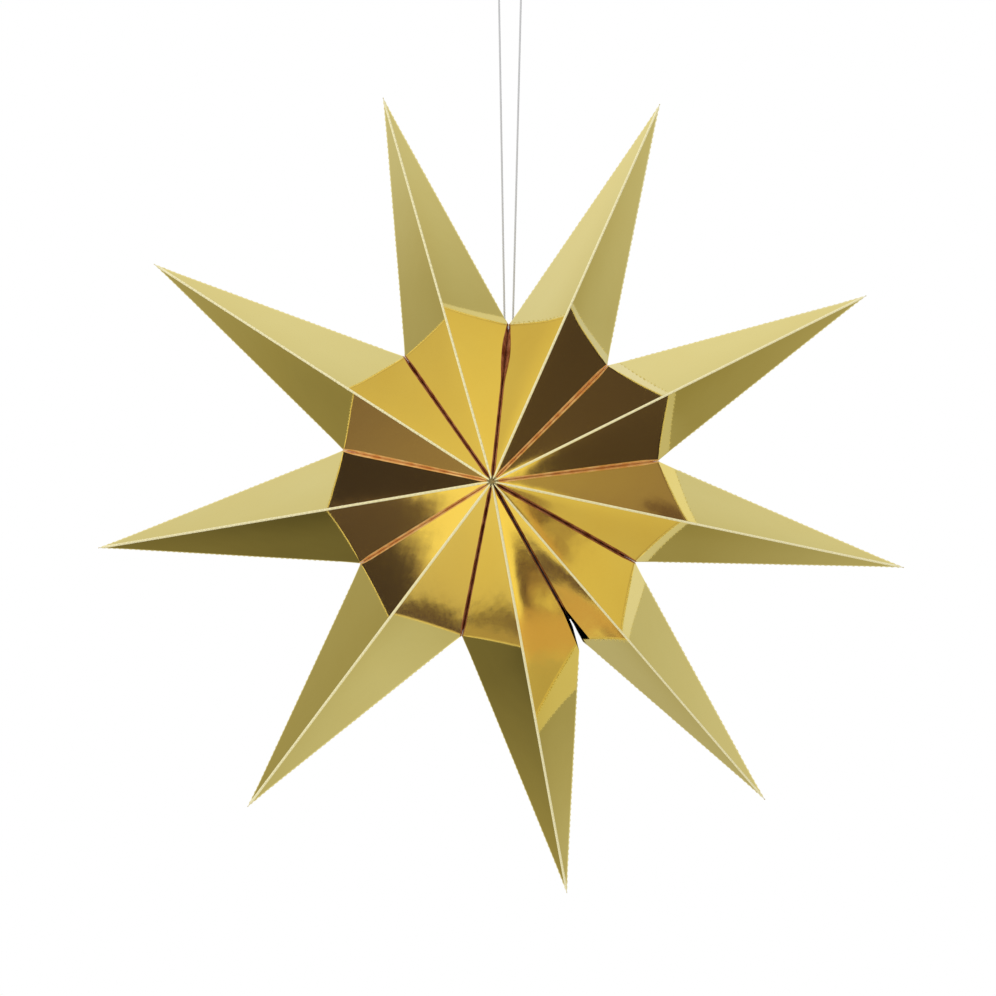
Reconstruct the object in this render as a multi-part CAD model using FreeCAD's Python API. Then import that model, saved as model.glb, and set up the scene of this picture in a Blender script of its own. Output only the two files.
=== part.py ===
import FreeCAD, Part
import math
import os

os.makedirs("parts", exist_ok=True)
Vector = FreeCAD.Vector

# A hanging star of nine folded card points, all sizes in millimetres.
# X is to the right and Z is up as the star hangs, and -Y is the side that faces the viewer.
# The origin is where a hook bears on the top of the cord's loop.

# The card and the star's overall shape
CARD = 0.4
HALF_DEPTH = 100.0
TIP_RADIUS = 300.0
VALLEY_RADIUS = 117.0
RIDGE_END_RADIUS = 2.5
PANEL_END_RADIUS = 4.5

# One row for each point, clockwise from the one left of the cord: the tip's angle from
# straight up, how far its tip reaches past the nominal radius, then the angle and the
# reach of the valley that follows it. A hand-folded star is a little uneven, and the
# closure's valley, which isn't glued, lies further out.
POINTS = (
    (343.25, -4.0, 3.4, 0.3),
    (22.95, 1.0, 42.4, 0.6),
    (62.9, 0.0, 81.8, 0.6),
    (101.7, 0.0, 119.9, -2.2),
    (139.9, 0.0, 152.5, 12.0),
    (170.6, 2.0, 193.9, -2.3),
    (218.0, 0.0, 240.3, 0.6),
    (261.0, -1.0, 282.3, 0.8),
    (302.5, 1.7, 323.4, -0.1),
)

# Where two points meet, each card turns inwards in a flap, and the flaps are glued
SLOT_AT_VALLEY = 0.8
SLOT_AT_HUB = 1.4
SLOT_DEPTH = 3.5
FLAP_WIDTH = 11.0
FLAP_HUB_CLEAR = 6.0
FLAP_SLANT_HUB = 5.0
FLAP_VALLEY_CLEAR = 2.0
FLAP_MIDDLE_GAP = 1.3

# The overlap that closes each card behind its back ridge
TAB_WIDTH = 9.0
TAB_TIP_CLEAR = 25.0
TAB_HUB_CLEAR = 14.0

# The closure between the fifth and sixth points: its corners are cut away, and its
# flaps hold to each other by strips of hook and loop tape. Each cut runs from a place on
# the valley's fold to one on the side fold, both measured from the valley's corner, and
# the back of the fifth point keeps a lip that its front doesn't have.
CLOSURE = 4
CLOSURE_SLOT = 1.2
NOTCH_FRONT = 36.0
NOTCH_BACK = 16.0
NOTCH_SIDE_BEFORE = 5.6
NOTCH_SIDE_AFTER = 7.6
NOTCH_SIDE_LIP = 1.4
STRIP_TOP = 1.6
STRIP_BOTTOM = 9.0
STRIP_END_CLEAR = 3.0

# The hanging cord. Its route, as X and Z from the star's centre, starts in the knot under
# the top valley, goes up the left strand, over a hook and down the right strand into the
# knot again. The star's weight keeps both strands straight.
CORD = 1.5
CORD_ROUTE = (
    (6.2, 113.55),
    (4.75, 114.2),
    (3.94, 116.6),
    (-0.39, 369.0),
    (16.25, 369.0),
    (9.99, 117.0),
    (9.1, 114.2),
    (7.6, 113.55),
)
BEND_SHARE = 0.45
CORD_VALLEY = 0
CORD_FLAP_CLEAR = 9.5
CORD_HOLE = 2.5
CORD_HOLE_BELOW = 0.9
CORD_HOLE_ABOVE = 14.1
KNOT_PLACE = (6.9, 113.6)
KNOT_LENGTH = 4.8
KNOT_DIAMETER = 4.2
KNOT_END_DIAMETER = 2.6

ROUTE = [Vector(x, 0, z) for x, z in CORD_ROUTE]
MOUNT = (ROUTE[3] + ROUTE[4]) * 0.5 - Vector(0, 0, CORD / 2)


def outward(angle):
    """The direction in the star's plane at an angle clockwise from straight up."""
    a = math.radians(angle)
    return Vector(math.sin(a), 0, math.cos(a))


def clockwise(angle):
    """The direction in the star's plane that runs clockwise at that angle."""
    return outward(angle + 90)


def unit(v):
    return v * (1.0 / v.Length)


def plane_normal(points, inside):
    """The unit normal of a flat polygon that points away from a point inside."""
    n = (points[1] - points[0]).cross(points[2] - points[0])
    for k in range(1, len(points) - 1):
        m = (points[k] - points[0]).cross(points[k + 1] - points[0])
        if m.Length > n.Length:
            n = m
    n = unit(n)
    return n * -1 if n.dot(inside - points[0]) > 0 else n


def inset(normals, thickness):
    """The step from a corner of a sheet to the same corner of its other side."""
    kinds = []
    for n in normals:
        if all(n.dot(k) < 0.999999 for k in kinds):
            kinds.append(n)
    if len(kinds) == 1:
        return kinds[0] * -thickness
    if len(kinds) == 2:
        a, b = kinds
        return (a + b) * (-thickness / (1 + a.dot(b)))
    a, b, c = kinds[:3]
    return (b.cross(c) + c.cross(a) + a.cross(b)) * (-thickness / a.dot(b.cross(c)))


def flat_face(points):
    return Part.Face(Part.makePolygon(points + [points[0]]))


def folded_sheet(corners, panels, inside, thickness):
    """One solid of folded card: flat panels that share corners, and its inner corners."""
    oriented = []
    normals = {name: [] for name in corners}
    for names in panels:
        ring = [corners[name] for name in names]
        n = plane_normal(ring, inside)
        turn = sum(((ring[k] - ring[0]).cross(ring[k + 1] - ring[0]).dot(n)
                    for k in range(1, len(ring) - 1)))
        oriented.append(list(names) if turn > 0 else list(names)[::-1])
        for name in names:
            normals[name].append(n)
    inner = {name: corners[name] + inset(normals[name], thickness) for name in corners}
    faces = []
    edges = set()
    for names in oriented:
        faces.append(flat_face([corners[name] for name in names]))
        faces.append(flat_face([inner[name] for name in names[::-1]]))
        for k, name in enumerate(names):
            edges.add((name, names[(k + 1) % len(names)]))
    for a, b in sorted(edges):
        if (b, a) not in edges:
            faces.append(flat_face([corners[b], corners[a], inner[a]]))
            faces.append(flat_face([corners[b], inner[a], inner[b]]))
    shell = Part.makeShell(faces)
    shell.sewShape()
    solid = Part.makeSolid(shell)
    if solid.Volume < 0:
        solid.reverse()
    return solid, inner


def plate(points, direction, thickness):
    """A flat plate: a polygon moved along a direction."""
    return flat_face(points).extrude(unit(direction) * thickness)


def valley(index):
    """The angle and radius of the valley after a point."""
    row = POINTS[index % len(POINTS)]
    return row[2], VALLEY_RADIUS + row[3]


def tip(index):
    row = POINTS[index % len(POINTS)]
    return outward(row[0]) * (TIP_RADIUS + row[1])


def middle_start(along, inward, depth):
    """How far from the valley a flap starts at a depth, to stay clear of the middle plane."""
    return (FLAP_MIDDLE_GAP + depth * abs(inward.y)) / abs(along.y)


def half_panels(index, side, facing, corners):
    """The corners and panels of one quarter of a point: a main panel and its flap.

    side is 1 for the point's left valley and -1 for its right one, and facing is -1 for
    the front and 1 for the back.
    """
    number = index - 1 if side > 0 else index
    number %= len(POINTS)
    angle, radius = valley(number)
    closure = number == CLOSURE
    e, m = outward(angle), clockwise(angle) * side
    slot_out = CLOSURE_SLOT / 2 if closure else SLOT_AT_VALLEY / 2
    slot_in = CLOSURE_SLOT / 2 if closure else SLOT_AT_HUB / 2
    t = tip(index)
    hub = Vector(0, facing * HALF_DEPTH, 0)
    out_end = e * radius + m * slot_out
    n = (t - hub).cross(out_end - hub)
    flat = e * PANEL_END_RADIUS + m * slot_in
    in_end = flat + Vector(0, n.dot(hub - flat) / n.y, 0)
    along = unit(in_end - out_end)
    tag = "%+d%+d" % (side, facing)
    edge = "valley%+d" % side
    corners["ridge%+d" % facing] = hub + (t - hub) * (RIDGE_END_RADIUS / (t - hub).dot(unit(t)))
    corners["in" + tag] = in_end

    start = FLAP_VALLEY_CLEAR
    if number == CORD_VALLEY:
        start = CORD_FLAP_CLEAR
    names = [edge]
    if closure:
        reach = NOTCH_SIDE_BEFORE if side < 0 else NOTCH_SIDE_AFTER
        notch = NOTCH_FRONT if facing < 0 else NOTCH_BACK
        corners[edge] = out_end + unit(t - out_end) * reach
        if side < 0 and facing > 0:
            corners["lip"] = out_end + unit(t - out_end) * NOTCH_SIDE_LIP
            names.append("lip")
        corners["notch" + tag] = out_end + along * notch
        names.append("notch" + tag)
        start = notch + FLAP_VALLEY_CLEAR
    else:
        corners[edge] = out_end

    # the flap's root on the fold, then its edges further in
    corners["root_out" + tag] = out_end + along * start
    corners["root_in" + tag] = in_end - along * FLAP_HUB_CLEAR
    names += ["root_out" + tag, "root_in" + tag, "in" + tag, "ridge%+d" % facing, "tip"]
    panels = [names]
    along_flat = unit(along - m * along.dot(m))
    inward = unit(along_flat.cross(m))
    if inward.dot(e) > 0:
        inward = inward * -1
    length = (in_end - out_end).dot(along_flat)

    def on_plane(distance, depth, offset):
        """A point of the flap by its distance from the valley's end and its depth."""
        foot = out_end - m * (out_end.dot(m) - offset)
        return foot + along_flat * distance + inward * depth

    inner_start = max(start, middle_start(along_flat, inward, FLAP_WIDTH))
    last = length - FLAP_HUB_CLEAR - FLAP_SLANT_HUB
    offset = slot_out if closure else 0.0
    corners["free_out" + tag] = on_plane(inner_start, FLAP_WIDTH, offset)
    corners["free_in" + tag] = on_plane(last, FLAP_WIDTH, offset)
    if closure:
        panels.append(["root_out" + tag, "root_in" + tag, "free_in" + tag, "free_out" + tag])
        return panels
    glue_start = max(start, middle_start(along_flat, inward, SLOT_DEPTH))
    glue_in = on_plane(last + FLAP_SLANT_HUB / 2, SLOT_DEPTH, 0.0)
    root_in, root_out = corners["root_in" + tag], corners["root_out" + tag]
    slope = (root_out - root_in).cross(glue_in - root_in)
    line = unit(slope.cross(m))
    back = (on_plane(glue_start, SLOT_DEPTH, 0.0) - glue_in).dot(along_flat) / line.dot(along_flat)
    corners["glue_in" + tag] = glue_in
    corners["glue_out" + tag] = glue_in + line * back
    panels.append(["root_out" + tag, "root_in" + tag, "glue_in" + tag, "glue_out" + tag])
    panels.append(["glue_out" + tag, "glue_in" + tag, "free_in" + tag, "free_out" + tag])
    return panels


def star_point(index):
    """One point of the star, a single card folded along its ridges and its edges."""
    corners = {"tip": tip(index)}
    panels = []
    for side in (1, -1):
        for facing in (-1, 1):
            panels += half_panels(index, side, facing, corners)
    inside = tip(index) * (0.4 * VALLEY_RADIUS / TIP_RADIUS)
    solid, inner = folded_sheet(corners, panels, inside, CARD)
    root, end = inner["ridge+1"], inner["tip"]
    ridge = unit(end - root)
    back_panel = [corners["tip"], corners["ridge+1"], corners["valley-1"]]
    normal = plane_normal(back_panel, inside)
    across = unit(corners["valley-1"] - root - ridge * (corners["valley-1"] - root).dot(ridge))
    across = unit(across - normal * across.dot(normal))
    near, far = root + ridge * TAB_HUB_CLEAR, end - ridge * TAB_TIP_CLEAR
    tab = plate([near, far, far + across * TAB_WIDTH - ridge * TAB_WIDTH * 2,
                 near + across * TAB_WIDTH + ridge * TAB_WIDTH * 2], normal * -1, CARD)
    return solid.fuse(tab).removeSplitter()


def tube(route, diameter):
    """A tube along straight runs joined by tangent arcs."""
    edges = []
    radii = []
    start = route[0]
    for before, corner, after in zip(route, route[1:], route[2:]):
        back, on = unit(before - corner), unit(after - corner)
        half_turn = (math.pi - back.getAngle(on)) / 2
        reach = BEND_SHARE * min((before - corner).Length, (after - corner).Length)
        radius = reach / math.tan(half_turn)
        middle = corner + unit(back + on) * (radius / math.cos(half_turn) - radius)
        edges.append(Part.LineSegment(start, corner + back * reach).toShape())
        edges.append(Part.Arc(corner + back * reach, middle, corner + on * reach).toShape())
        start = corner + on * reach
        radii.append(radius)
    edges.append(Part.LineSegment(start, route[-1]).toShape())
    wire = Part.Wire(edges)
    ring = Part.Wire(Part.makeCircle(diameter / 2, route[0], unit(route[1] - route[0])))
    solid = wire.makePipeShell([ring], True, False)
    section = math.pi * diameter ** 2 / 4
    print("cord radii", " ".join("%.2f" % r for r in radii))
    print("cord length %.1f, volume %.1f for %.1f" % (
        wire.Length, solid.Volume, section * wire.Length))
    return solid


def cord_hole(low, high):
    """What a strand's hole takes out of the side folds, from just under the valley up."""
    way = unit(high - low)
    bottom = valley(CORD_VALLEY)[1] - CORD_HOLE_BELOW
    start = low + way * ((bottom - low.z) / way.z)
    return Part.makeCylinder(CORD_HOLE / 2, CORD_HOLE_BELOW + CORD_HOLE_ABOVE, start, way)


def cord_knot(cord):
    """The knot inside the star, a barrel round the cord's two ends."""
    h, end, mid = KNOT_LENGTH / 2, KNOT_END_DIAMETER / 2, KNOT_DIAMETER / 2
    profile = Part.Wire([
        Part.LineSegment(Vector(-h, 0, 0), Vector(-h, 0, end)).toShape(),
        Part.Arc(Vector(-h, 0, end), Vector(0, 0, mid), Vector(h, 0, end)).toShape(),
        Part.LineSegment(Vector(h, 0, end), Vector(h, 0, 0)).toShape(),
        Part.LineSegment(Vector(h, 0, 0), Vector(-h, 0, 0)).toShape(),
    ])
    barrel = Part.Face(profile).revolve(Vector(0, 0, 0), Vector(1, 0, 0), 360)
    barrel.translate(Vector(KNOT_PLACE[0], 0, KNOT_PLACE[1]))
    return barrel.cut(cord)


def closure_strip(side, facing):
    """One strip of tape on a flap at the closure, between the flap and the middle plane."""
    angle, radius = valley(CLOSURE)
    e, m = outward(angle), clockwise(angle) * side
    out_end, hub = e * radius, Vector(0, facing * HALF_DEPTH, 0)
    along = unit(hub - out_end)
    inward = unit(along.cross(m))
    if inward.dot(e) > 0:
        inward = inward * -1
    notch = NOTCH_FRONT if facing < 0 else NOTCH_BACK
    first = max(notch + FLAP_VALLEY_CLEAR, middle_start(along, inward, STRIP_BOTTOM))
    first += STRIP_END_CLEAR
    last = (hub - out_end).Length - PANEL_END_RADIUS - FLAP_HUB_CLEAR - FLAP_SLANT_HUB
    last -= STRIP_END_CLEAR
    ring = [out_end + along * first + inward * STRIP_TOP,
            out_end + along * last + inward * STRIP_TOP,
            out_end + along * last + inward * STRIP_BOTTOM,
            out_end + along * first + inward * STRIP_BOTTOM]
    return plate(ring, m, CLOSURE_SLOT / 2)


def save(shape, name):
    shape = shape.copy()
    shape.translate(MOUNT * -1)
    if shape.ShapeType != "Solid" and len(shape.Solids) == 1:
        shape = shape.Solids[0]
    shape.exportStep("parts/%s.step" % name)
    box = shape.BoundBox
    print("%-20s solids %d valid %s volume %.1f box %.1f %.1f %.1f" % (
        name, len(shape.Solids), shape.isValid(), shape.Volume,
        box.XLength, box.YLength, box.ZLength))


cord = tube(ROUTE, CORD)
left_hole = cord_hole(ROUTE[2], ROUTE[3])
right_hole = cord_hole(ROUTE[5], ROUTE[4])

for number in range(len(POINTS)):
    point = star_point(number)
    if number == CORD_VALLEY:
        point = point.cut(left_hole)
    elif number == (CORD_VALLEY + 1) % len(POINTS):
        point = point.cut(right_hole)
    save(point, "star_point_%d" % (number + 1))

save(closure_strip(-1, -1), "hook_strip_front")
save(closure_strip(1, -1), "loop_strip_front")
save(closure_strip(-1, 1), "hook_strip_back")
save(closure_strip(1, 1), "loop_strip_back")
save(cord, "hanging_cord")
save(cord_knot(cord), "cord_knot")
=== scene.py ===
import math

import bmesh
import bpy
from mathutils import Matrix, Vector, noise


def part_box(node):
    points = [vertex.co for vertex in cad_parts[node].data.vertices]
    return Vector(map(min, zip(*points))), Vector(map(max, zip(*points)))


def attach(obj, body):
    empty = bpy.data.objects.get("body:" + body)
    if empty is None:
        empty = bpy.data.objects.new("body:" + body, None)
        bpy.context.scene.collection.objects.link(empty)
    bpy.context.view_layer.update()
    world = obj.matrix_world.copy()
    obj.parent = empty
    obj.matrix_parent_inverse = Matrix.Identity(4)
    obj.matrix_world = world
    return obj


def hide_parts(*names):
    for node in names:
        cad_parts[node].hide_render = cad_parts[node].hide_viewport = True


bl_info = {
    "name": "Hanging foil star",
    "version": (1, 0, 0),
    "blender": (4, 5, 0),
    "location": "3D View > Sidebar > Foil star",
    "description": "Dresses a nine-pointed star of folded gold foil card and its cord",
    "category": "Object",
}

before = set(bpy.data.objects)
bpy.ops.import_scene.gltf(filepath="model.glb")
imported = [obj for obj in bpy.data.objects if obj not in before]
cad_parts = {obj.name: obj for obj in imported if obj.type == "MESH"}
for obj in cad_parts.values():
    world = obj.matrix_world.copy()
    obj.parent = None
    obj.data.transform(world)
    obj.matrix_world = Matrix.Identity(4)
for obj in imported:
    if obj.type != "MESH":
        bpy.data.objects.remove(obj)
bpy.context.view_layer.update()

MM = 0.001
STAR_CENTRE = Vector((-7.93, 0.0, -368.25)) * MM

# One row for each point, clockwise from the one left of the cord: the tip's angle from straight
# up, how far it reaches past the nominal radius, then the same for the valley that follows it.
POINTS = (
    (343.25, -4.0, 3.4, 0.3),
    (22.95, 1.0, 42.4, 0.6),
    (62.9, 0.0, 81.8, 0.6),
    (101.7, 0.0, 119.9, -2.2),
    (139.9, 0.0, 152.5, 12.0),
    (170.6, 2.0, 193.9, -2.3),
    (218.0, 0.0, 240.3, 0.6),
    (261.0, -1.0, 282.3, 0.8),
    (302.5, 1.7, 323.4, -0.1),
)
CORD_VALLEY = 0
CLOSURE = 4
SHALLOW_VALLEYS = (1, 2, 6, 7)
# A valley whose corner was glued a little behind the star's middle plane, and by how much
SET_BACK = {7: 2.0 * MM}

# The cord's route in millimetres from the star's centre, across and up: from the knot up the
# left strand, over the hook and down the right strand to the knot.
CORD_ROUTE = (
    (6.2, 113.55),
    (4.75, 114.2),
    (3.94, 116.6),
    (3.9, 119.13),
    (-0.24, 360.0),
    (-0.39, 369.0),
    (16.25, 369.0),
    (16.03, 360.0),
    (10.05, 119.5),
    (9.99, 117.0),
    (9.1, 114.2),
    (7.6, 113.55),
)


def linear(code):
    """An sRGB hex colour as linear red, green, blue and full alpha."""
    parts = [int(code[k:k + 2], 16) / 255 for k in (1, 3, 5)]
    return tuple(c / 12.92 if c <= 0.04045 else ((c + 0.055) / 1.055) ** 2.4
                 for c in parts) + (1.0,)


def length_value(name, description, millimetres):
    return bpy.props.FloatProperty(
        name=name, description=description, default=millimetres * MM, unit="LENGTH", precision=4)


def colour_value(name, description, code):
    return bpy.props.FloatVectorProperty(
        name=name, description=description, default=linear(code), subtype="COLOR", size=4,
        min=0.0, max=1.0)


class StarCard(bpy.types.PropertyGroup):
    """Sizes of the folded cards."""

    half_depth: length_value("Half depth", "From the middle plane to the hub's end", 100)
    tip_radius: length_value("Tip radius", "From the centre to a point's tip", 300)
    valley_radius: length_value("Valley radius", "From the centre to a valley", 117)
    ridge_end: length_value("Ridge end", "Where the ridges stop short of the hub", 2.0)
    panel_end: length_value("Panel end", "Where the panels stop short of the hub", 4.5)
    thickness: length_value("Card", "Thickness of the card", 0.4)
    ridge_round: length_value("Ridge rounding", "Width of the scored strip on each side", 1.5)
    edge_round: length_value("Edge rounding", "Width of the rounded strip at side folds", 1.3)
    fold_round: length_value("Fold rounding", "Width of the rounded strip at the valleys", 0.7)
    slot: length_value("Slot at valley", "Half the gap between two points at a valley", 0.4)
    slot_deep: length_value("Deep slot", "Half the gap of a deep groove at its widest", 0.95)
    slot_shallow: length_value("Shallow slot", "Half the gap of a shallow groove", 1.2)
    slot_hub: length_value("Slot at hub", "Half the gap at the hub", 0.7)
    slot_widest: length_value("Widest at", "How far from the valley the gap is widest", 16)
    cord_slot: length_value("Cord's slot", "Half the gap at its widest under the cord", 2.3)
    closure_slot: length_value("Closure's slot", "Half the gap at the closure", 0.55)
    groove_deep: length_value("Deep groove", "How deep the flaps' glued faces begin", 2.6)
    groove_shallow: length_value("Shallow groove", "The same beside dark panels", 1.3)
    flap_width: length_value("Flap width", "Depth of the flaps inside the star", 11)
    bow: length_value("Bow", "How far a panel bows out of its plane", 0.14)
    ripple: length_value("Ripple", "Height of the slow waves in a panel", 0.05)
    notch_front: length_value("Front notch", "Length cut from the closure's front folds", 36)
    notch_back: length_value("Back notch", "Length cut from the closure's back folds", 16)
    notch_before: length_value("Notch on the fifth", "Length cut from its side fold", 5.6)
    notch_lip: length_value("Lip of the fifth", "Length cut from its side fold behind", 1.4)
    notch_after: length_value("Notch on the sixth", "Length cut from its side fold", 7.6)
    rows: bpy.props.IntProperty(name="Rows", description="Rows along a panel", default=72, min=12)
    columns: bpy.props.IntProperty(
        name="Columns", description="Columns across a panel", default=12, min=3)


class StarScore(bpy.types.PropertyGroup):
    """Sizes of the short cuts that the folds are scored with."""

    pitch: length_value("Pitch", "From one cut to the next", 4.0)
    ridge_cut: bpy.props.FloatVectorProperty(
        name="Ridge cut", description="Length, width and height of a cut's lips on a ridge",
        default=(2.8 * MM, 2.3 * MM, 0.6 * MM), subtype="XYZ_LENGTH", precision=4)
    edge_cut: bpy.props.FloatVectorProperty(
        name="Edge cut", description="Length, width and height of a cut's lips on a side fold",
        default=(2.5 * MM, 0.9 * MM, 0.6 * MM), subtype="XYZ_LENGTH", precision=4)
    seed: bpy.props.IntProperty(name="Seed", description="Changes the cuts' sizes", default=7)


class StarCord(bpy.types.PropertyGroup):
    """Sizes of the cord."""

    diameter: length_value("Diameter", "Over all three strands", 1.5)
    length: length_value("Length", "From the knot round the loop to the knot", 523)
    lay: length_value("Lay", "Length of one full twist", 6.0)
    knot_turns: bpy.props.FloatProperty(
        name="Knot turns", description="Turns of cord in the knot", default=3.0)


class StarColours(bpy.types.PropertyGroup):
    """Colours of the materials."""

    foil: colour_value("Foil", "The foil as one reflection shows it", "#EADB8B")
    foil_warm: colour_value("Warm foil", "Where the lacquer is a little thicker", "#E9D67F")
    # Partly the pale card where the foil cracked and partly a painted highlight: brighter than the
    # card's cut core, so the ridges stay bright beside dark reflections
    score: colour_value("Score", "Foil that cracked pale along a fold", "#FFFBDE")
    # Painted reflection: this orange on creased foil stands in for the gold walls mirrored in each
    # other, and its lighter streaks are painted highlights
    groove: colour_value("Groove", "Creased foil in a shallow groove", "#EAAE62")
    groove_painted_highlight: colour_value("Light groove", "Its lighter streaks", "#FBD694")
    # Painted shade: this dark red-brown on creased foil stands in for the shade deep in the
    # groove, and its lighter streaks are painted highlights
    deep: colour_value("Deep groove", "Creased foil in a deep groove", "#8A4420")
    deep_groove_painted_highlight: colour_value("Light deep groove", "Its lighter streaks", "#C08058")
    inside: colour_value("Inside", "The card's black inner face", "#0B0A09")
    core: colour_value("Core", "The card's cut edge", "#D9C9A2")
    cord: colour_value("Cord", "The cord's yarn", "#D2D2D4")
    tape: colour_value("Tape", "The closure's tape", "#141312")


class StarStudio(bpy.types.PropertyGroup):
    """The camera and the stage."""

    azimuth: bpy.props.FloatProperty(
        name="Azimuth", description="Camera's turn round the star", default=math.radians(2.9),
        subtype="ANGLE")
    elevation: bpy.props.FloatProperty(
        name="Elevation", description="Camera's height above the level of the star",
        default=math.radians(-1.0), subtype="ANGLE")
    distance: bpy.props.FloatProperty(
        name="Distance", description="From the camera to the star", default=2.1, unit="LENGTH")
    lens: bpy.props.FloatProperty(
        name="Lens", description="Focal length of the camera", default=103.9, unit="CAMERA")
    aim: bpy.props.FloatVectorProperty(
        name="Aim", description="What the camera looks at, from the star's centre",
        default=(-0.9 * MM, 0.0, -10.2 * MM), subtype="TRANSLATION", precision=4)
    floor_drop: bpy.props.FloatProperty(
        name="Floor", description="How far the floor is below the star's centre", default=1.2,
        unit="LENGTH")
    floor_colour: colour_value("Floor", "The pale floor", "#F2F1EE")


def add(tree, kind, inputs=None, **settings):
    """Adds a node, with its settings, and feeds its inputs from values or from other sockets."""
    node = tree.nodes.new(kind)
    for name, value in settings.items():
        if name == "stops":
            ramp = node.color_ramp
            for _ in range(len(value) - len(ramp.elements)):
                ramp.elements.new(1.0)
            for element, (place, colour) in zip(ramp.elements, value):
                element.position = place
                element.color = colour
        else:
            setattr(node, name, value)
    for key, value in (inputs or {}).items():
        if isinstance(value, bpy.types.NodeSocket):
            tree.links.new(value, node.inputs[key])
        else:
            node.inputs[key].default_value = value
    return node


def new_material(name):
    """An empty node material, its tree, and the place on the object that patterns follow."""
    material = bpy.data.materials.new(name)
    material.use_nodes = True
    tree = material.node_tree
    tree.nodes.clear()
    return material, tree, add(tree, "ShaderNodeTexCoord").outputs["Object"]


def grain(tree, place, millimetres, detail):
    """A noise whose features are some millimetres across."""
    return add(tree, "ShaderNodeTexNoise", {
        "Vector": place, "Scale": 1 / (millimetres * MM), "Detail": detail}).outputs["Fac"]


def finish_material(tree, shader):
    add(tree, "ShaderNodeOutputMaterial", {"Surface": shader.outputs[0]})


def foil_card():
    """Metallised gold foil laminated on card: a mirror with a clear warm lacquer.

    It gives the eye clean mirror images that get yellower with each bounce, broken a little by
    slow waves in the card, and by a fine grain where the card's fibres show through the foil.
    """
    colours = bpy.context.scene.star_colours
    material, tree, place = new_material("gold_foil_laminated_card")
    cloud = grain(tree, place, 60, 2.0)
    fibre = grain(tree, place, 1.6, 3.0)
    wave = grain(tree, place, 18, 1.0)
    colour = add(tree, "ShaderNodeMix", {
        "Factor": cloud, "A": colours.foil, "B": colours.foil_warm},
        data_type="RGBA")
    rough = add(tree, "ShaderNodeMapRange", {
        "Value": fibre, "From Min": 0.3, "From Max": 0.7,
        "To Min": 0.025, "To Max": 0.05})
    slow = add(tree, "ShaderNodeBump", {
        "Strength": 0.3, "Distance": 0.06 * MM, "Height": wave})
    fine = add(tree, "ShaderNodeBump", {
        "Strength": 0.05, "Distance": 0.025 * MM, "Height": fibre,
        "Normal": slow.outputs["Normal"]})
    finish_material(tree, add(tree, "ShaderNodeBsdfPrincipled", {
        "Base Color": colour.outputs["Result"], "Metallic": 1.0,
        "Roughness": rough.outputs["Result"], "Normal": fine.outputs["Normal"],
        "Coat Weight": 0.5, "Coat Roughness": 0.05}))
    return material


def scored_fold():
    """Foil along a scored fold, where it cracked and the pale card shows through.

    It gives the eye a bright cream line that stays bright beside dark reflections. Its near-white
    colour, brighter than the card's cut core, is partly the pale card and partly a painted
    highlight of the rounded ridge.
    """
    colours = bpy.context.scene.star_colours
    material, tree, place = new_material("cracked_foil_and_painted_highlight_at_scored_fold")
    # Where the pale colour goes: cracks, and with them a painted highlight along the ridge
    crack_and_highlight = grain(tree, place, 0.7, 3.0)
    colour = add(tree, "ShaderNodeMix", {
        "Factor": crack_and_highlight, "A": colours.score, "B": colours.foil},
        data_type="RGBA")
    bump = add(tree, "ShaderNodeBump", {
        "Strength": 0.3, "Distance": 0.1 * MM, "Height": crack_and_highlight})
    finish_material(tree, add(tree, "ShaderNodeBsdfPrincipled", {
        "Base Color": colour.outputs["Result"], "Metallic": 0.1, "Roughness": 0.4,
        "Normal": bump.outputs["Normal"]}))
    return material


def creased_foil(name, colour, light):
    """Foil in a valley's groove, stretched and crazed where the card turns into the star.

    It gives the eye a soft line, lighter in streaks, that mirrors nothing: its colours are painted
    light in place of mirrored light. It is orange where the groove is shallow, a painted
    reflection of the gold walls in each other, and dark red-brown where it is deep, painted shade;
    the lighter streaks are painted highlights.
    """
    material, tree, place = new_material(name)
    craze = grain(tree, place, 1.5, 3.0)
    painted_highlight_streak = grain(tree, place, 9, 2.0)
    share = add(tree, "ShaderNodeMapRange", {
        "Value": painted_highlight_streak, "From Min": 0.35, "From Max": 0.65})
    tone = add(tree, "ShaderNodeMix", {
        "Factor": share.outputs["Result"], "A": colour, "B": light}, data_type="RGBA")
    bump = add(tree, "ShaderNodeBump", {
        "Strength": 0.4, "Distance": 0.15 * MM, "Height": craze})
    finish_material(tree, add(tree, "ShaderNodeBsdfPrincipled", {
        "Base Color": tone.outputs["Result"], "Roughness": 0.5, "Normal": bump.outputs["Normal"]}))
    return material


def card_inside():
    """The card's inner face, black: a matt face with a faint paper tooth."""
    colours = bpy.context.scene.star_colours
    material, tree, place = new_material("black_card_inside")
    tooth = grain(tree, place, 0.5, 4.0)
    colour = add(tree, "ShaderNodeMix", {
        "Factor": tooth, "A": colours.inside, "B": colours.tape}, data_type="RGBA")
    bump = add(tree, "ShaderNodeBump", {
        "Strength": 0.4, "Distance": 0.05 * MM, "Height": tooth})
    finish_material(tree, add(tree, "ShaderNodeBsdfPrincipled", {
        "Base Color": colour.outputs["Result"], "Roughness": 0.8, "Specular IOR Level": 0.2,
        "Normal": bump.outputs["Normal"]}))
    return material


def card_edge():
    """The cut edge of the card: pale pressed fibres."""
    colours = bpy.context.scene.star_colours
    material, tree, place = new_material("cut_edge_of_card")
    fibre = grain(tree, place, 0.3, 3.0)
    colour = add(tree, "ShaderNodeMix", {
        "Factor": fibre, "A": colours.core, "B": colours.foil_warm},
        data_type="RGBA")
    finish_material(tree, add(tree, "ShaderNodeBsdfPrincipled", {
        "Base Color": colour.outputs["Result"], "Roughness": 0.85}))
    return material


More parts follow.
